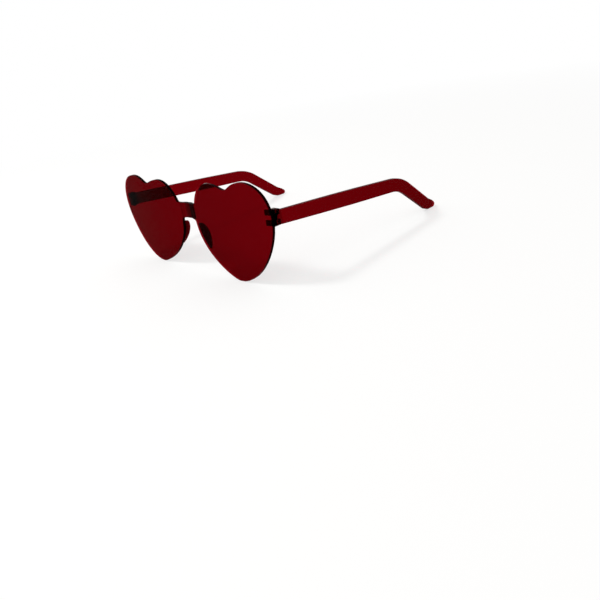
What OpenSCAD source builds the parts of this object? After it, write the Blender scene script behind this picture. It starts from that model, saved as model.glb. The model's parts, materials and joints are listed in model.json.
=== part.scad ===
// Rimless heart shaped sunglasses: one moulded front, two nose pads, two hinge blocks with
// their screws, and two folding temples. All sizes are in millimetres.
//
// The pieces are drawn as worn: X runs across the face, Y from the front to the back and Z
// upwards. Z = 0 is the lowest point of the hearts, and Y = 0 the most forward line of the
// front. stand() then leans the whole object back until the hearts and the temple tips rest
// on one level surface, and puts the origin at the middle of the footprint.

/* [Hearts] */
// Width of one heart
heart_w = 66.8; // [60:0.2:72]
// Height of one heart
heart_h = 56.8; // [52:0.2:60]
// Least distance between the two hearts
nose_gap = 14.5; // [13:0.5:18]
// Thickness of the moulded front
sheet_t = 1.8; // [1.6:0.1:2.2]
// Radius of each heart's gentle curve, seen from above
heart_curve_r = 505; // [400:5:800]
// Distance of each heart's most forward line from the middle
curve_apex_x = 33; // [28:1:38]

/* [Bridge] */
// Height of the bridge between the hearts
bridge_h = 8.1; // [7:0.1:9]
// Height of the bridge's lower edge above the hearts' lowest point
bridge_low = 34; // [33:0.2:35]
// Radius of the bends that set the bridge back, at the middle of the sheet
bridge_bend_r = 2.5; // [2.2:0.1:3]
// Steepest angle of those bends
bridge_bend_angle = 35; // [30:1:40]
// How far inside a heart's inner edge line the first bend starts
bridge_bend_inset = 1.9; // [1.5:0.1:2.2]
// Size of the small fillets where the bridge's top meets the hearts
bridge_top_fillet = 0.6; // [0.4:0.1:1.2]
// Size of the fillets under the bridge
bridge_low_fillet = 3; // [1:0.1:3.5]

/* [Nose pads] */
// Height of one nose pad
pad_h = 15.6; // [13:0.2:16]
// How far a nose pad reaches behind the front
pad_depth = 4; // [3:0.1:5]
// Thickness of a nose pad
pad_t = 2; // [1.6:0.1:2.4]
// Height of a pad's middle above the hearts' lowest point
pad_mid_z = 22.3; // [21:0.1:23]
// Angle by which a pad opens outwards to the back
pad_flare = 24; // [15:1:28]
// How far a pad stands out past its heart's edge, towards the nose
pad_overhang = 0.6; // [0:0.1:0.8]

/* [Hinges] */
// Distance of a hinge axis inside a heart's outer edge
hinge_inset = 2.05; // [1.8:0.05:3]
// Distance of a hinge axis behind the front's back face
hinge_setback = 2.4; // [2.3:0.1:3]
// Radius of the two ears round a screw
ear_r = 2.1; // [2:0.05:2.3]
// Height of one ear
ear_h = 2.9; // [2.2:0.1:3]
// How far the ears' feet reach from a hinge axis towards the nose
foot_reach = 4.2; // [3:0.1:5]
// Thickness of those feet
foot_t = 1.2; // [0.8:0.05:1.25]
// Height of the slot between the ears
slot_h = 2.6; // [2.2:0.1:3.2]
// Height of a hinge's underside above the hearts' lowest point
hinge_low = 34.6; // [34:0.2:36]
// Radius of the temple's tongue round the screw
tongue_r = 1.75; // [1.5:0.05:1.8]
// How far a temple's root reaches inwards from the hinge axis
root_inside = 0.9; // [0.5:0.05:0.95]
// Thickness of the web that ties the ears together
web_t = 0.4; // [0.3:0.05:0.45]
// Radius of a screw's shank
screw_r = 0.7; // [0.5:0.05:0.8]
// Radius of a screw's head
screw_head_r = 1.05; // [1:0.05:1.4]
// Height of a screw's head
screw_head_h = 0.45; // [0.4:0.05:0.8]

/* [Temples] */
// Length of a temple's straight stretch, from the hinge axis
temple_straight = 94.5; // [85:0.5:105]
// Radius of the bend over the ear, at the temple's middle line
ear_bend_r = 31; // [28:1:40]
// Length of the straight stretch behind the bend
temple_drop = 29; // [22:0.5:32]
// Thickness of a temple
temple_t = 2.2; // [1.8:0.1:2.5]
// Height of a temple at the hinge
temple_root_h = 7.5; // [6.5:0.1:8.5]
// Greatest height of a temple
temple_mid_h = 8.5; // [7.5:0.1:9.5]
// Height of a temple at its tip
temple_tip_h = 7.6; // [6:0.1:9]
// Fall of the straight stretch, in degrees
temple_fall = 4.7; // [3:0.1:6]
// Fall of the stretch behind the bend, in degrees
drop_fall = 36; // [32:0.5:40]
// Outward splay of a temple, in degrees
temple_splay = 1.2; // [0.8:0.1:2.5]
// Radius of the inward curl behind the ear, seen from above
tip_curl_r = 850; // [600:10:1500]

/* [Fits] */
// Gap left for the bonding film behind the front
bond_gap = 0.03; // [0.01:0.01:0.05]
// Radial clearance of a screw in the tongue and in the upper ear
screw_clear = 0.05; // [0.03:0.01:0.08]
// Radial clearance of a screw in the lower ear
thread_clear = 0.02; // [0.01:0.01:0.04]
// Clearance above and below the tongue
tongue_clear = 0.1; // [0.05:0.01:0.15]
// Gap between an open temple's shoulder and the ears
stop_gap = 0.12; // [0.08:0.01:0.2]
// How far an open temple's outer face stands out from the ears
temple_proud = 0.2; // [0:0.05:0.3]

/* [Hidden] */

front_red = [0.42, 0.01, 0.05, 0.8];
temple_red = [0.5, 0.01, 0.06, 0.85];
block_red = [0.25, 0.02, 0.05];
pad_red = [0.3, 0.01, 0.04];
screw_steel = [0.6, 0.58, 0.55];

curve_steps = 14;     // points along one stretch of an outline
corner_steps = 5;     // points round a small corner
bend_steps = 8;       // points along one bend of the bridge
heart_runs = 18;      // flats across one heart, seen from above
curl_runs = 12;       // flats along a temple's curl
halvings = 20;        // rounds of the search for a height on an outline
round_fn = 64;
overrun = 5;          // how far a cutting shape runs past what it cuts
nudge_share = 0.004;  // small step along an outline's stretch, as a share of it

// Knots of a heart's outline, as shares of its width and height. The inner side is the one
// towards the nose.
notch_share = [0.505, 0.92];
inner_top_share = [0.28, 0.97];
inner_side_share = [0, 0.58];
tip_share = [0.5, 0];
outer_side_share = [1, 0.66];
outer_top_share = [0.716, 1];

// Lengths of the outline's handles before and after each knot, as shares in the same way.
notch_before_share = [0.037, 0.002];
notch_after_share = [-0.039, -0.009];
inner_top_shares = [0.11, 0.182];
inner_side_shares = [0.161, 0.369];
tip_shares = [0.087, 0.28];
outer_side_shares = [0.237, 0.212];
outer_top_shares = [0.159, 0.124];

// Corners of a temple's tip, as shares of the tip's height: along the temple, and across it
// from its middle line. Each is a start, a corner and an end.
low_corner_shares = [[-0.45, -0.5], [-0.1, -0.5], [0.3, -0.3]];
rear_corner_shares = [[1, 0.2], [1.42, 0.85], [-0.2, 0.5]];
belly_share = 0.68;      // where a temple is highest, as a share of its straight stretch
curl_start_share = 0.96; // where the curl starts, as a share of the same

root_full = 1.2;      // length of a temple's thick root
root_taper = 1.2;     // length of its taper into the strip
screw_slot_w = 0.35;
screw_slot_depth = 0.25;

function bezier(p, t) = pow(1 - t, 3) * p[0] + 3 * pow(1 - t, 2) * t * p[1]
    + 3 * (1 - t) * t * t * p[2] + t * t * t * p[3];
function corner_point(p, t) = (1 - t) * (1 - t) * p[0] + 2 * (1 - t) * t * p[1] + t * t * p[2];
function corner(p) = [for (i = [0:corner_steps]) corner_point(p, i / corner_steps)];
function reversed(points) = [for (i = [len(points) - 1:-1:0]) points[i]];
function mirrored(points) = [for (p = reversed(points)) [-p[0], p[1]]];

// One heart as stretches between its knots, each with four points, in shares.
above_nose = [inner_top_share, inner_top_share - [inner_top_shares[1], 0],
    inner_side_share + [0, inner_side_shares[0]], inner_side_share];
below_nose = [inner_side_share, inner_side_share - [0, inner_side_shares[1]],
    tip_share - [tip_shares[0], 0], tip_share];
round_outside = [
    [tip_share, tip_share + [tip_shares[1], 0],
        outer_side_share - [0, outer_side_shares[0]], outer_side_share],
    [outer_side_share, outer_side_share + [0, outer_side_shares[1]],
        outer_top_share + [outer_top_shares[0], 0], outer_top_share],
    [outer_top_share, outer_top_share - [outer_top_shares[1], 0],
        notch_share + notch_before_share, notch_share],
    [notch_share, notch_share + notch_after_share,
        inner_top_share + [inner_top_shares[0], 0], inner_top_share]
];

function heart_place(share) = [nose_gap / 2 + share[0] * heart_w, share[1] * heart_h];
function heart_point(stretch, t) = heart_place(bezier(stretch, t));
function stretch_points(stretch, from, to) = [for (i = [0:curve_steps - 1])
    heart_point(stretch, from + (to - from) * i / curve_steps)];

// How far along a stretch that falls from its start to its end a height lies, by halving.
function share_at(stretch, z, low = 0, high = 1, left = halvings) =
    left == 0 ? (low + high) / 2
    : heart_point(stretch, (low + high) / 2)[1] > z
        ? share_at(stretch, z, (low + high) / 2, high, left - 1)
        : share_at(stretch, z, low, (low + high) / 2, left - 1);
function edge_at(stretch, z) = heart_point(stretch, share_at(stretch, z));

// The front's outline on the left half: the bridge's lower corner, the heart all the way
// round, and the bridge's upper corner.
bridge_top = bridge_low + bridge_h;
low_corner = edge_at(below_nose, bridge_low);
high_corner = edge_at(above_nose, bridge_top);
low_join = share_at(below_nose, bridge_low - bridge_low_fillet);
high_join = share_at(above_nose, bridge_top + bridge_top_fillet);
half_outline = concat(
    corner([low_corner - [bridge_low_fillet, 0], low_corner, heart_point(below_nose, low_join)]),
    stretch_points(below_nose, low_join + nudge_share, 1),
    [for (stretch = round_outside) each stretch_points(stretch, 0, 1)],
    stretch_points(above_nose, 0, high_join),
    corner([heart_point(above_nose, high_join), high_corner, high_corner - [bridge_top_fillet, 0]]));

// A heart's faces, seen from above: each heart lies on a circle.
function face_y(x, depth) = heart_curve_r
    - sqrt(pow(heart_curve_r - depth, 2) - pow(abs(x) - curve_apex_x, 2));
function back_y(x) = face_y(x, sheet_t);
function lead(x) = asin((curve_apex_x - x) / (heart_curve_r - sheet_t / 2));
function toward(a) = [sin(a), cos(a)];

// Stations along the sheet's middle line, each a place and a lead angle, from the middle of
// the bridge round its two bends and across the heart.
bend_x = nose_gap / 2 - bridge_bend_inset;
outer_bend = [bend_x, face_y(bend_x, sheet_t / 2)] + bridge_bend_r * toward(lead(bend_x));
inner_bend = outer_bend - 2 * bridge_bend_r * toward(bridge_bend_angle);
heart_run = nose_gap / 2 + heart_w + overrun - bend_x;
function sheet_station(x) = [[x, face_y(x, sheet_t / 2)], lead(x)];
sheet_line = concat(
    [for (i = [0:bend_steps]) let (a = bridge_bend_angle * i / bend_steps)
        [inner_bend + bridge_bend_r * toward(a), a]],
    [for (i = [1:bend_steps - 1])
        let (a = bridge_bend_angle + (lead(bend_x) - bridge_bend_angle) * i / bend_steps)
            [outer_bend - bridge_bend_r * toward(a), a]],
    [for (i = [0:heart_runs]) sheet_station(bend_x + heart_run * i / heart_runs)]);
function sheet_half(off) = [for (s = sheet_line) s[0] + off * toward(s[1])];
function sheet_side(off) = concat(mirrored(sheet_half(off)), sheet_half(off));

// A nose pad's strip follows the heart's edge at an even distance.
pad_from = share_at(below_nose, pad_mid_z + pad_h / 2);
pad_to = share_at(below_nose, pad_mid_z - pad_h / 2);
function edge_inside(t, off) = let (
    here = heart_point(below_nose, t),
    ahead = heart_point(below_nose, t + nudge_share) - here)
        here + off / norm(ahead) * [-ahead[1], ahead[0]];
function pad_line(off) = [for (i = [0:curve_steps])
    edge_inside(pad_from + (pad_to - pad_from) * i / curve_steps, off)];
pad_base_x = edge_at(below_nose, pad_mid_z)[0] - pad_overhang + pad_t / 2;
pad_base_y = back_y(pad_base_x);
pad_strip = concat(pad_line(-pad_overhang), reversed(pad_line(pad_t - pad_overhang)));

// A pad's rounded side view: the first number runs back from the front's back face.
pad_profile = concat([[-overrun, pad_mid_z - pad_h / 2]],
    [for (i = [0:curve_steps]) let (a = 180 * i / curve_steps - 90)
        [pad_depth * cos(a), pad_mid_z + pad_h / 2 * sin(a)]],
    [[-overrun, pad_mid_z + pad_h / 2]]);

// The hinge
hinge_x = nose_gap / 2 + heart_w - hinge_inset;
hinge_y = back_y(hinge_x) + hinge_setback;
hinge_h = 2 * ear_h + slot_h;
shoulder = ear_r + stop_gap;
tongue_low = hinge_low + ear_h + tongue_clear;
tongue_h = slot_h - 2 * tongue_clear;

// A temple's side view: the first number runs back from the hinge axis, the second upwards.
function along(a) = [cos(a), -sin(a)];
temple_start = [0, hinge_low + hinge_h / 2 - temple_proud];
straight_end = temple_start + temple_straight * along(temple_fall);
bend_centre = straight_end - ear_bend_r * toward(temple_fall);
drop_start = bend_centre + ear_bend_r * toward(drop_fall);
drop_end = drop_start + temple_drop * along(drop_fall);
belly = temple_straight * belly_share;
function bend_run(a) = ear_bend_r * (a - temple_fall) * PI / 180;
temple_run = temple_straight + bend_run(drop_fall) + temple_drop;
function temple_height(run) = run < belly
    ? temple_root_h + (temple_mid_h - temple_root_h) * sin(90 * run / belly)
    : temple_mid_h + (temple_tip_h - temple_mid_h) * (run - belly) / (temple_run - belly);
temple_stations = concat(
    [for (i = [0:curve_steps]) let (run = temple_straight * i / curve_steps)
        [temple_start + run * along(temple_fall), temple_fall, temple_height(run)]],
    [for (i = [1:curve_steps]) let (a = temple_fall + (drop_fall - temple_fall) * i / curve_steps)
        [bend_centre + ear_bend_r * toward(a), a, temple_height(temple_straight + bend_run(a))]]);
function temple_edge(side) = [for (s = temple_stations) s[0] + side * s[2] / 2 * toward(s[1])];
function tip_place(share) = drop_end
    + temple_tip_h * (share[0] * along(drop_fall) + share[1] * toward(drop_fall));
function tip_corner(shares) = corner([for (s = shares) tip_place(s)]);
tip_outline = reversed(concat(tip_corner(low_corner_shares), tip_corner(rear_corner_shares)));
temple_outline = concat(temple_edge(1), tip_outline, reversed(temple_edge(-1)));

// A temple's top view: the first number runs outwards from the hinge axis, the second back.
curl_start = temple_straight * curl_start_share;
curl_end = max([for (p = tip_outline) p[0]]) + overrun;
function outer_line(s) = [ear_r + temple_proud + (s - shoulder) * tan(temple_splay)
    - (s > curl_start ? pow(s - curl_start, 2) / (2 * tip_curl_r) : 0), s];
function curl_side(off) = [for (i = [0:curl_runs])
    outer_line(curl_start + (curl_end - curl_start) * i / curl_runs) - [off, 0]];
temple_plan = concat(
    [outer_line(shoulder)], curl_side(0), reversed(curl_side(temple_t)),
    [outer_line(shoulder + root_full + root_taper) - [temple_t, 0],
        [-root_inside, shoulder + root_full], [-root_inside, shoulder]]);

// How the object stands
rest_y = back_y(heart_place(tip_share)[0]);
stand_lean = min([for (p = tip_outline) atan2(p[1], p[0] + hinge_y - rest_y)]);
function leaned_y(y, z) = (y - rest_y) * cos(stand_lean) + z * sin(stand_lean);
rear_y = max([for (p = tip_outline) leaned_y(p[0] + hinge_y, p[1])]);
fore_y = min([for (p = half_outline) leaned_y(face_y(p[0], 0), p[1])]);
middle_y = (rear_y + fore_y) / 2;

module stand() {
    translate([0, -middle_y, 0])
        rotate([-stand_lean, 0, 0])
            translate([0, -rest_y, 0])
                children();
}

module on_left() {
    stand() children();
}

module on_right() {
    stand() mirror([1, 0, 0]) children();
}

// Draws a shape given in X and Z, over a depth along Y.
module facing(from, to) {
    translate([0, to, 0])
        rotate([90, 0, 0])
            linear_extrude(to - from)
                children();
}

// Draws a shape given in Y and Z, from the middle outwards.
module sideways(width) {
    rotate([90, 0, 90])
        linear_extrude(width)
            children();
}

module front_lens() {
    color(front_red) stand() intersection() {
        linear_extrude(heart_h * 3, center = true)
            polygon(concat(sheet_side(-sheet_t / 2), reversed(sheet_side(sheet_t / 2))));
        facing(-overrun, heart_w / 2)
            polygon(concat(half_outline, mirrored(half_outline)));
    }
}

// Everything behind the left half of the front.
module behind_front() {
    back_line = sheet_half(sheet_t / 2 + bond_gap);
    far = back_line[len(back_line) - 1];
    linear_extrude(heart_h)
        polygon(concat(back_line, [far + [0, heart_w], back_line[0] + [0, heart_w]]));
}

module nose_pad() {
    intersection() {
        behind_front();
        translate([pad_base_x, pad_base_y, 0])
            rotate([0, 0, -pad_flare])
                translate([-pad_base_x, 0, 0])
                    intersection() {
                        facing(-overrun, pad_depth + overrun)
                            polygon(pad_strip);
                        sideways(heart_w)
                            polygon(pad_profile);
                    }
    }
}

module hinge_block() {
    base_xs = [hinge_x - foot_reach, hinge_x - ear_r, hinge_x, hinge_x + ear_r];
    base_line = [for (x = base_xs) [x, back_y(x) + bond_gap]];
    difference() {
        translate([0, 0, hinge_low])
            linear_extrude(hinge_h) {
                polygon(concat(base_line, [[hinge_x + ear_r, hinge_y + ear_r],
                    [hinge_x, hinge_y + ear_r], [hinge_x, hinge_y], [hinge_x - ear_r, hinge_y],
                    base_line[1] + [0, foot_t], base_line[0] + [0, foot_t]]));
                translate([hinge_x, hinge_y])
                    circle(ear_r, $fn = round_fn);
            }
        translate([hinge_x - heart_w, 0, hinge_low + ear_h])
            cube([heart_w, heart_w, slot_h]);
        translate([hinge_x - ear_r, back_y(hinge_x) + bond_gap + web_t, hinge_low + ear_h])
            cube([heart_w, heart_w, slot_h]);
        translate([hinge_x, hinge_y, hinge_low + ear_h])
            cylinder(h = hinge_h, r = screw_r + screw_clear, $fn = round_fn);
        translate([hinge_x, hinge_y, hinge_low - ear_h])
            cylinder(h = ear_h * 3, r = screw_r + thread_clear, $fn = round_fn);
    }
}

module hinge_screw() {
    translate([hinge_x, hinge_y, hinge_low])
        cylinder(h = hinge_h, r = screw_r, $fn = round_fn);
    translate([hinge_x, hinge_y, hinge_low + hinge_h])
        difference() {
            cylinder(h = screw_head_h, r = screw_head_r, $fn = round_fn);
            translate([-screw_head_r, -screw_slot_w / 2, screw_head_h - screw_slot_depth])
                cube([screw_head_r * 2, screw_slot_w, screw_slot_depth * 2]);
        }
}

module temple() {
    translate([hinge_x, hinge_y, 0])
        difference() {
            union() {
                intersection() {
                    linear_extrude(heart_h)
                        polygon(temple_plan);
                    translate([-heart_w / 2, 0, 0])
                        sideways(heart_w)
                            polygon(temple_outline);
                }
                translate([0, 0, tongue_low])
                    cylinder(h = tongue_h, r = tongue_r, $fn = round_fn);
                translate([-tongue_r, 0, tongue_low])
                    cube([tongue_r * 2, shoulder + root_full / 2, tongue_h]);
            }
            translate([0, 0, hinge_low])
                cylinder(h = hinge_h, r = screw_r + screw_clear, $fn = round_fn);
        }
}

module nose_pad_left() {
    color(pad_red) on_left() nose_pad();
}

module nose_pad_right() {
    color(pad_red) on_right() nose_pad();
}

module hinge_block_left() {
    color(block_red) on_left() hinge_block();
}

module hinge_block_right() {
    color(block_red) on_right() hinge_block();
}

module hinge_screw_left() {
    color(screw_steel) on_left() hinge_screw();
}

module hinge_screw_right() {
    color(screw_steel) on_right() hinge_screw();
}

module temple_left() {
    color(temple_red) on_left() temple();
}

module temple_right() {
    color(temple_red) on_right() temple();
}

front_lens();
nose_pad_left();
nose_pad_right();
hinge_block_left();
hinge_block_right();
hinge_screw_left();
hinge_screw_right();
temple_left();
temple_right();
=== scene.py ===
# Rimless heart shaped sunglasses: one red see-through front, two folding temples, nose pads,
# hinge blocks and screws, on a plain pale floor.
import json
import math

import bmesh
import bpy
from mathutils import Euler, Matrix, Vector


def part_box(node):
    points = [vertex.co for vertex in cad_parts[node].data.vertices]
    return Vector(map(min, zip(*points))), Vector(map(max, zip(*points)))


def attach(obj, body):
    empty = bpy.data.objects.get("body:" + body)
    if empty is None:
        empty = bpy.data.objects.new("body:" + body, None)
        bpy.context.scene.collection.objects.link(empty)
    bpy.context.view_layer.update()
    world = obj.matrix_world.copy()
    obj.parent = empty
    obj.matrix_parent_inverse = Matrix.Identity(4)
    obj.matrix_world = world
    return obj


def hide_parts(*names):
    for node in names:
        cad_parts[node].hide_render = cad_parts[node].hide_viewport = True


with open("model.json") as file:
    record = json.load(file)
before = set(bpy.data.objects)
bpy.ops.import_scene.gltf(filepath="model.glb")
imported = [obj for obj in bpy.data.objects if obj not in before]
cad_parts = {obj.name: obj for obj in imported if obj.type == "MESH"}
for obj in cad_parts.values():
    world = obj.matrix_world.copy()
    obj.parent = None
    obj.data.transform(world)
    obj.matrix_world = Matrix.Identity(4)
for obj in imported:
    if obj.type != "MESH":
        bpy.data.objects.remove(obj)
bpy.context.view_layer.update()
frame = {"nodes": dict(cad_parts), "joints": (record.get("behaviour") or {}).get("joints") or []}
print("loaded", len(frame["nodes"]), "pieces of the packed model")

mm = 0.001
pinAxis = Vector(frame["joints"][0]["axis"])             # upwards as worn
wornBack = Vector((0, pinAxis.z, -pinAxis.y))            # from the front to the back as worn


# the camera stands in front of the glasses and to their left, a little above them
camera = {
    "place": (271.35 * mm, -235.82 * mm, 114.09 * mm),
    "azimuth": 49.25,
    "elevation": 25.47,
    "roll": -10.67,
    "lens": 31.8,
    "shift": (0.0083, 0.0036),
    "nearest": 1 * mm,
}

cameraObject = bpy.data.objects.new("camera", bpy.data.cameras.new("camera"))
bpy.context.scene.collection.objects.link(cameraObject)
tilt = math.radians(90 - camera["elevation"])
cameraTurn = Euler((tilt, 0, math.radians(camera["azimuth"]))).to_matrix()
cameraTurn = cameraTurn @ Matrix.Rotation(math.radians(camera["roll"]), 3, "Z")
cameraObject.matrix_world = Matrix.Translation(camera["place"]) @ cameraTurn.to_4x4()
cameraObject.data.lens = camera["lens"]
cameraObject.data.shift_x, cameraObject.data.shift_y = camera["shift"]
cameraObject.data.clip_start = camera["nearest"]
bpy.context.scene.camera = cameraObject
print("camera in place")


def hexColour(code):
    parts = [int(code[i:i + 2], 16) / 255 for i in (1, 3, 5)]
    linear = [p / 12.92 if p <= 0.04045 else ((p + 0.055) / 1.055) ** 2.4 for p in parts]
    return (*linear, 1)


def addNode(tree, kind, inputs=None, **settings):
    node = tree.nodes.new(kind)
    for name, value in settings.items():
        setattr(node, name, value)
    for name, value in (inputs or {}).items():
        if isinstance(value, bpy.types.NodeSocket):
            tree.links.new(value, node.inputs[name])
        else:
            node.inputs[name].default_value = value
    return node


def newMaterial(name):
    material = bpy.data.materials.new(name)
    material.use_nodes = True
    material.node_tree.nodes.clear()
    return material, material.node_tree


def patternScale(size):
    return 1 / size      # waves per metre for a feature of that real size


# Tinted polycarbonate. It is clear right through, so its dye shows with the depth: a face is
# deep red, and two layers or an edge seen end-on are nearly black. The IOR starts from 1.585
# and comes down until the faces mirror as little of the white room as the real ones do.
polycarbonate = {
    "depth": "#dd34a6",            # its depth takes green out first, then blue, and red last
    "density": 1000,               # per metre
    "ior": 1.03,
    "dark": "#010000",
    "grazing": (0.72, 0.92),       # how far a face turns away from the eye, from red to dark
    "mirrorIor": 2.0,              # tells an edge seen from inside from one seen from outside
    "outside": (0.8, 0.25),        # how much it mirrors, from inside to outside
    "smearDetail": 5.0,
    "smearRoughness": 0.6,
    "smearRange": (0.35, 0.7),
    "waveDetail": 1.0,
}


def tintOver(tree, value, reach, under, over):
    # lays a colour over another: none of it where the value is at the reach's first end, and
    # all of it at the second
    share = addNode(tree, "ShaderNodeMapRange", {
        "Value": value, "From Min": reach[0], "From Max": reach[1]})
    mix = addNode(tree, "ShaderNodeMix", {
        0: share.outputs["Result"], 6: under, 7: over}, data_type="RGBA")
    return mix.outputs[2]


def paintedBridgeShade(tree, place, tint, dark, bridge):
    # painted shade: the bridge is made a darker red than the hearts, and darkens sooner than they do at a
    # slant
    sideways = addNode(tree, "ShaderNodeSeparateXYZ", {"Vector": place}).outputs["X"]
    aside = addNode(tree, "ShaderNodeMath", {0: sideways}, operation="ABSOLUTE").outputs["Value"]
    paintedShadeSlant = addNode(tree, "ShaderNodeLayerWeight").outputs["Facing"]
    # painted shade: a darker red on the bridge, and more dark where it slants
    tint = tintOver(tree, aside, bridge["reach"], tint, hexColour(bridge["tint"]))
    slanted = tintOver(tree, paintedShadeSlant, bridge["paintedShadeSlant"], tint, dark)
    tint = tintOver(tree, aside, bridge["reach"], tint, slanted)
    # Its two bends lead the light along inside the sheet, so the one that turns away from the
    # eye is nearly black, and the other isn't: within a bend, faces count as turned further.
    fromBend = addNode(tree, "ShaderNodeMath", {0: aside, 1: bridge["bendMiddle"]}, operation="SUBTRACT")
    fromBend = addNode(tree, "ShaderNodeMath", {0: fromBend.outputs["Value"]}, operation="ABSOLUTE")
    turn = addNode(tree, "ShaderNodeMapRange", {
        "Value": fromBend.outputs["Value"], "From Min": bridge["bendReach"][0],
        "From Max": bridge["bendReach"][1], "To Max": bridge["bendTurn"]})
    normal = addNode(tree, "ShaderNodeTexCoord").outputs["Normal"]
    backward = addNode(tree, "ShaderNodeSeparateXYZ", {"Vector": normal}).outputs["Y"]
    side = addNode(tree, "ShaderNodeMath", {0: sideways}, operation="SIGN").outputs["Value"]
    outward = addNode(tree, "ShaderNodeMath", {0: side, 1: backward}, operation="MULTIPLY")
    push = addNode(tree, "ShaderNodeMath", {
        0: turn.outputs["Result"], 1: outward.outputs["Value"]}, operation="MULTIPLY")
    push = addNode(tree, "ShaderNodeCombineXYZ", {"X": push.outputs["Value"]})
    turned = addNode(tree, "ShaderNodeVectorMath", {0: normal, 1: push.outputs["Vector"]}, operation="ADD")
    turned = addNode(tree, "ShaderNodeVectorMath", {0: turned.outputs["Vector"]}, operation="NORMALIZE")
    facing = addNode(tree, "ShaderNodeLayerWeight", {"Normal": turned.outputs["Vector"]})
    bent = tintOver(tree, facing.outputs["Facing"], bridge["bendGrazing"], tint, dark)
    return tintOver(tree, fromBend.outputs["Value"], bridge["bendReach"], tint, bent)


def tintedPolycarbonate(name, finish):
    material, tree = newMaterial(name)
    place = addNode(tree, "ShaderNodeTexCoord").outputs["Object"]
    # 1 on the narrow faces around a sheet or an arm, 0 elsewhere
    edge = addNode(tree, "ShaderNodeAttribute", attribute_name="edge").outputs["Fac"]
    smears = addNode(tree, "ShaderNodeTexNoise", {
        "Vector": place, "Scale": patternScale(finish["smearSize"]),
        "Detail": polycarbonate["smearDetail"], "Roughness": polycarbonate["smearRoughness"]})
    smooth = addNode(tree, "ShaderNodeMapRange", {
        "Value": smears.outputs["Fac"],
        "From Min": polycarbonate["smearRange"][0], "From Max": polycarbonate["smearRange"][1],
        "To Min": finish["roughness"][0], "To Max": finish["roughness"][1]})
    roughness = addNode(tree, "ShaderNodeMath", {
        0: edge, 1: finish["edgeRoughness"], 2: smooth.outputs["Result"]}, operation="MULTIPLY_ADD")
    waves = addNode(tree, "ShaderNodeTexNoise", {
        "Vector": place, "Scale": patternScale(finish["waveSize"]), "Detail": polycarbonate["waveDetail"]})
    bump = addNode(tree, "ShaderNodeBump", {
        "Height": waves.outputs["Fac"], "Strength": 1.0, "Distance": finish["waveHeight"]})
    dark = hexColour(polycarbonate["dark"])
    tint = tintOver(tree, smears.outputs["Fac"], (0, 1), *[hexColour(c) for c in finish["tint"]])
    # a face seen nearly edge-on is dark, because the light has a long way through it
    facing = addNode(tree, "ShaderNodeLayerWeight").outputs["Facing"]
    tint = tintOver(tree, facing, polycarbonate["grazing"], tint, dark)
    # painted shade on the bridge, and its dark bends
    if "bridge" in finish:
        tint = paintedBridgeShade(tree, place, tint, dark, finish["bridge"])
    if "root" in finish:
        # the thick root of a temple is darker than its strip
        back = addNode(tree, "ShaderNodeSeparateXYZ", {"Vector": place}).outputs["Y"]
        tint = tintOver(tree, back, finish["root"]["reach"], tint, hexColour(finish["root"]["tint"]))
    # an edge is dark from outside, but from inside it mirrors the sheet and looks like it
    mirror = addNode(tree, "ShaderNodeFresnel", {"IOR": polycarbonate["mirrorIor"]}).outputs["Fac"]
    edgeTint = tintOver(tree, mirror, polycarbonate["outside"], tint, dark)
    shader = addNode(tree, "ShaderNodeBsdfPrincipled", {
        "Base Color": tintOver(tree, edge, (0, 1), tint, edgeTint),
        "Roughness": roughness.outputs["Value"],
        "IOR": polycarbonate["ior"],
        "Transmission Weight": 1.0,
        "Normal": bump.outputs["Normal"]})
    depth = addNode(tree, "ShaderNodeVolumeAbsorption", {
        "Color": hexColour(polycarbonate["depth"]), "Density": polycarbonate["density"]})
    addNode(tree, "ShaderNodeOutputMaterial", {
        "Surface": shader.outputs["BSDF"], "Volume": depth.outputs["Volume"]})
    return material


# pressed sheet: a mirror-smooth face with a long, faint waviness and the odd smear, and a
# routed and flame-polished edge
pressedSheet = tintedPolycarbonate("pressedPolycarbonateSheet", {
    "tint": ("#961620", "#8c121c"),
    "roughness": (0.015, 0.05),
    "edgeRoughness": 0.07,
    "smearSize": 14 * mm,
    "waveSize": 9 * mm,
    "waveHeight": 0.004 * mm,
    "bridge": {
        # painted shade: a darker red for the bridge than for the hearts
        "tint": "#86131c",
        "reach": (7.2 * mm, 5.6 * mm),           # from the middle, where it starts and is full
        # painted shade: the bridge darkens at a slant sooner than the hearts
        "paintedShadeSlant": (0.2, 0.7),
        "bendMiddle": 3.95 * mm,                 # from the middle of the bridge
        "bendReach": (1.75 * mm, 1.45 * mm),     # from the middle of a bend
        "bendTurn": 0.7,
        "bendGrazing": (0.5, 0.6),
    },
})


def behindScrew(side, distance):
    # a place along a temple, as far behind the middle of its hinge screw as the distance says
    low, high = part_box(f"hinge_screw_{side}")
    return (low.y + high.y) / 2 + distance


# moulded temples: flow marks a few millimetres apart
mouldedTemple = tintedPolycarbonate("mouldedPolycarbonateTemple", {
    "tint": ("#9c1620", "#92121c"),
    "roughness": (0.02, 0.07),
    "edgeRoughness": 0.03,
    "smearSize": 9 * mm,
    "waveSize": 5 * mm,
    "waveHeight": 0.006 * mm,
    "root": {
        "tint": "#6c0f17",
        "reach": (behindScrew("left", 3.33 * mm), behindScrew("left", 2.53 * mm)),
    },
})
# small mouldings, the pads and the hinge blocks: a little duller and more uneven than the
# temples, and of a darker red
smallMoulding = {
    "roughness": (0.03, 0.09),
    "edgeRoughness": 0.0,
    "smearSize": 3 * mm,
    "waveSize": 2 * mm,
    "waveHeight": 0.006 * mm,
}
mouldedPad = tintedPolycarbonate("mouldedPolycarbonatePad", {
    "tint": ("#6c0f18", "#620d16"), **smallMoulding})
mouldedBlock = tintedPolycarbonate("mouldedPolycarbonateBlock", {
    "tint": ("#640e17", "#5c0c14"), **smallMoulding})


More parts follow.
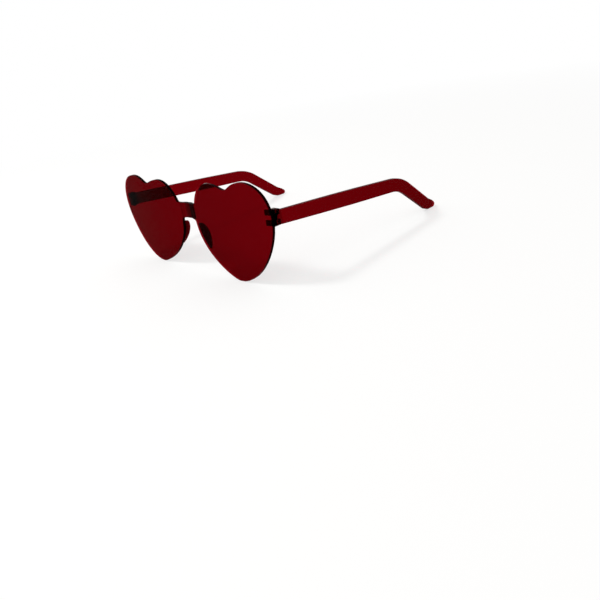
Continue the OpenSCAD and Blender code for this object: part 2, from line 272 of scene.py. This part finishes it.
# turned screw steel: a metal with rings left by the tool, its dark warm grey partly burnished steel and
# partly painted shade. Real ones are 0.08 mm apart and too fine to show, so a grain of twice that size
# stands for them.
screwSteel = {
    # partly painted shade: darker and warmer than bright steel
    "colour": "#6e605a",
    "roughness": (0.22, 0.38),
    "grainSize": 0.16 * mm,
    "grainDetail": 3.0,
    "grainRange": (0.3, 0.7),
    "grainDepth": 0.004 * mm,
}


def turnedSteel():
    material, tree = newMaterial("turnedScrewSteel")
    place = addNode(tree, "ShaderNodeTexCoord").outputs["Object"]
    grain = addNode(tree, "ShaderNodeTexNoise", {
        "Vector": place, "Scale": patternScale(screwSteel["grainSize"]),
        "Detail": screwSteel["grainDetail"]})
    roughness = addNode(tree, "ShaderNodeMapRange", {
        "Value": grain.outputs["Fac"],
        "From Min": screwSteel["grainRange"][0], "From Max": screwSteel["grainRange"][1],
        "To Min": screwSteel["roughness"][0], "To Max": screwSteel["roughness"][1]})
    bump = addNode(tree, "ShaderNodeBump", {
        "Height": grain.outputs["Fac"], "Strength": 1.0, "Distance": screwSteel["grainDepth"]})
    shader = addNode(tree, "ShaderNodeBsdfPrincipled", {
        "Base Color": hexColour(screwSteel["colour"]), "Metallic": 1.0,
        "Roughness": roughness.outputs["Result"], "Normal": bump.outputs["Normal"]})
    addNode(tree, "ShaderNodeOutputMaterial", {"Surface": shader.outputs["BSDF"]})
    return material


turnedScrewSteel = turnedSteel()
print("materials ready")


# how near two points and how flat two faces have to be to become one in a copy
copying = {"mergeDistance": 0.0005 * mm, "flatAngle": 0.05}


def closedCopy(node):
    # the node's own shape as one closed mesh, with its flat faces whole
    shape = bmesh.new()
    shape.from_mesh(frame["nodes"][node].data)
    bmesh.ops.remove_doubles(shape, verts=shape.verts, dist=copying["mergeDistance"])
    bmesh.ops.dissolve_limit(shape, angle_limit=math.radians(copying["flatAngle"]),
                             verts=shape.verts, edges=shape.edges)
    shape.faces.layers.float.new("edge")
    return shape


def sharpEdges(shape, piece):
    sharp = math.radians(piece["edgeAngle"])
    return [e for e in shape.edges if e.is_manifold and e.calc_face_angle(0) > sharp]


def roundEdges(shape, edges, piece):
    rounds = bmesh.ops.bevel(shape, geom=edges, affect="EDGES", offset_type="OFFSET",
                             offset=piece["edgeRound"], segments=piece["edgeSegments"],
                             profile=0.5, material=-1, clamp_overlap=True)
    return rounds["faces"]


def markEdges(shape, faces):
    # one material holds the whole piece, so the edges are told apart by an attribute
    edge = shape.faces.layers.float["edge"]
    for face in faces:
        face[edge] = 1.0


def finished(shape, name, node, body, material):
    mesh = bpy.data.meshes.new(name)
    bmesh.ops.recalc_face_normals(shape, faces=shape.faces)
    for face in shape.faces:
        face.smooth = True
    shape.to_mesh(mesh)
    shape.free()
    mesh.materials.append(material)
    piece = bpy.data.objects.new(name, mesh)
    bpy.context.scene.collection.objects.link(piece)
    shading = piece.modifiers.new("shading", "WEIGHTED_NORMAL")
    shading.keep_sharp = True
    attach(piece, body)
    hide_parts(node)
    return piece


# front: both hearts and the bridge in one sheet
front = {
    "edgeRound": 0.14 * mm,
    "edgeSegments": 3,
    "wallLean": 0.1,               # a face that leans less than this to the front or back is a wall
    "sliceStep": 3.2 * mm,
    "sliceTolerance": 0.001 * mm,
}


def isWall(face):
    return abs(face.normal.dot(wornBack)) < front["wallLean"]


def makeFront():
    shape = closedCopy("front_lens")
    rim = [e for e in shape.edges if len({isWall(f) for f in e.link_faces}) == 2]
    rounds = roundEdges(shape, rim, front)
    markEdges(shape, rounds + [f for f in shape.faces if isWall(f)])
    # level cuts keep the long faces from shading unevenly
    low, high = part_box("front_lens")
    slices = int((high.z - low.z) / front["sliceStep"])
    for i in range(1, slices):
        bmesh.ops.bisect_plane(shape, geom=shape.verts[:] + shape.edges[:] + shape.faces[:],
                               dist=front["sliceTolerance"], plane_no=pinAxis,
                               plane_co=Vector((0, 0, low.z)) + pinAxis * front["sliceStep"] * i)
    return finished(shape, "front_sheet", "front_lens", "front", pressedSheet)


makeFront()
print("front made")

# temples: flat moulded arms with rounded edges
temple = {
    "edgeRound": 0.28 * mm,
    "edgeSegments": 4,
    "edgeAngle": 40,
    "edgeSide": 0.5,               # a face whose normal has less than this to the side is an edge
    "rootLength": 4 * mm,          # behind the screw
}


def makeTemple(side):
    shape = closedCopy(f"temple_{side}")
    roundEdges(shape, sharpEdges(shape, temple), temple)
    # the root at the hinge is a thick lump with no dark edge of its own
    rootEnd = behindScrew(side, temple["rootLength"])
    markEdges(shape, [f for f in shape.faces
                      if abs(f.normal.x) < temple["edgeSide"] and f.calc_center_median().y > rootEnd])
    return finished(shape, f"temple_arm_{side}", f"temple_{side}", f"temple_{side}", mouldedTemple)


# nose pads: small blades with well rounded edges, but for those at the bonded side
nosePad = {
    "edgeRound": 0.55 * mm,
    "edgeSegments": 5,
    "edgeAngle": 40,
    "bondedSide": -0.5,            # a face that leans more than this to the front is bonded to it
}


def makePad(side):
    shape = closedCopy(f"nose_pad_{side}")
    free = [e for e in sharpEdges(shape, nosePad)
            if all(f.normal.dot(wornBack) > nosePad["bondedSide"] for f in e.link_faces)]
    roundEdges(shape, free, nosePad)
    return finished(shape, f"nose_blade_{side}", f"nose_pad_{side}", "front", mouldedPad)


# hinge blocks: two ears on a bonded foot
hingeBlock = {"edgeRound": 0.12 * mm, "edgeSegments": 3, "edgeAngle": 40}


def makeBlock(side):
    shape = closedCopy(f"hinge_block_{side}")
    roundEdges(shape, sharpEdges(shape, hingeBlock), hingeBlock)
    return finished(shape, f"hinge_ears_{side}", f"hinge_block_{side}", "front", mouldedBlock)


# hinge screws: slotted heads
hingeScrew = {"edgeRound": 0.08 * mm, "edgeSegments": 3, "edgeAngle": 40}


def makeScrew(side):
    shape = closedCopy(f"hinge_screw_{side}")
    roundEdges(shape, sharpEdges(shape, hingeScrew), hingeScrew)
    return finished(shape, f"slotted_screw_{side}", f"hinge_screw_{side}", "front", turnedScrewSteel)


for side in ("left", "right"):
    makeTemple(side)
    makePad(side)
    makeBlock(side)
    makeScrew(side)
print("temples, pads, hinge blocks and screws made")


# studio: a white room, a pale floor and one broad soft lamp
studio = {
    "floorSize": 25.0,
    "floorColour": "#f2f1ef",
    "floorGlow": (0.62, 1.0),      # share of white near the glasses and further out
    "floorFade": (0.25, 0.9),      # where that share starts to grow and where it is full
    "roomLight": 0.8,              # how strongly the room lights what stands in it, 1 for white
    "lampPlace": (-0.5, -0.6, 1.1),
    "lampSize": 0.25,
    "lampWatts": 8.0,
}


def shownRays(tree):
    # 1 where the eye sees the surroundings directly, through the plastic or mirrored in it
    ray = addNode(tree, "ShaderNodeLightPath").outputs
    seen = addNode(tree, "ShaderNodeMath", {0: ray["Is Camera Ray"], 1: ray["Is Transmission Ray"]},
                   operation="MAXIMUM")
    shown = addNode(tree, "ShaderNodeMath", {0: seen.outputs["Value"], 1: ray["Is Glossy Ray"]},
                    operation="MAXIMUM")
    return shown.outputs["Value"]


def whiteRoom():
    world = bpy.data.worlds.new("whiteRoom")
    world.use_nodes = True
    tree = world.node_tree
    tree.nodes.clear()
    strength = addNode(tree, "ShaderNodeMapRange", {
        "Value": shownRays(tree), "To Min": studio["roomLight"], "To Max": 1.0})
    background = addNode(tree, "ShaderNodeBackground", {
        "Color": (1, 1, 1, 1), "Strength": strength.outputs["Result"]})
    addNode(tree, "ShaderNodeOutputWorld", {"Surface": background.outputs["Background"]})
    bpy.context.scene.world = world


def paleFloor():
    material, tree = newMaterial("palePaper")
    # the paper turns as white as the room further out, so that no horizon shows
    place = addNode(tree, "ShaderNodeTexCoord").outputs["Object"]
    distance = addNode(tree, "ShaderNodeVectorMath", {0: place}, operation="LENGTH")
    fade = addNode(tree, "ShaderNodeMapRange", {
        "Value": distance.outputs["Value"],
        "From Min": studio["floorFade"][0], "From Max": studio["floorFade"][1],
        "To Min": studio["floorGlow"][0], "To Max": studio["floorGlow"][1]})
    share = addNode(tree, "ShaderNodeMath", {0: shownRays(tree), 1: fade.outputs["Result"]},
                    operation="MULTIPLY")
    paper = addNode(tree, "ShaderNodeBsdfDiffuse", {"Color": hexColour(studio["floorColour"])})
    glow = addNode(tree, "ShaderNodeEmission", {"Color": (1, 1, 1, 1), "Strength": 1.0})
    mix = addNode(tree, "ShaderNodeMixShader", {
        0: share.outputs["Value"], 1: paper.outputs["BSDF"], 2: glow.outputs["Emission"]})
    addNode(tree, "ShaderNodeOutputMaterial", {"Surface": mix.outputs["Shader"]})
    shape = bmesh.new()
    bmesh.ops.create_grid(shape, x_segments=1, y_segments=1, size=studio["floorSize"])
    mesh = bpy.data.meshes.new("floor")
    shape.to_mesh(mesh)
    shape.free()
    mesh.materials.append(material)
    floor = bpy.data.objects.new("floor", mesh)
    bpy.context.scene.collection.objects.link(floor)


def softLamp():
    lamp = bpy.data.objects.new("softLamp", bpy.data.lights.new("softLamp", "AREA"))
    bpy.context.scene.collection.objects.link(lamp)
    lamp.data.size = studio["lampSize"]
    lamp.data.energy = studio["lampWatts"]
    lamp.location = studio["lampPlace"]
    lamp.rotation_euler = (-lamp.location).to_track_quat("-Z", "Y").to_euler()


whiteRoom()
paleFloor()
softLamp()
bpy.context.scene.view_settings.view_transform = "Standard"
print("studio ready")
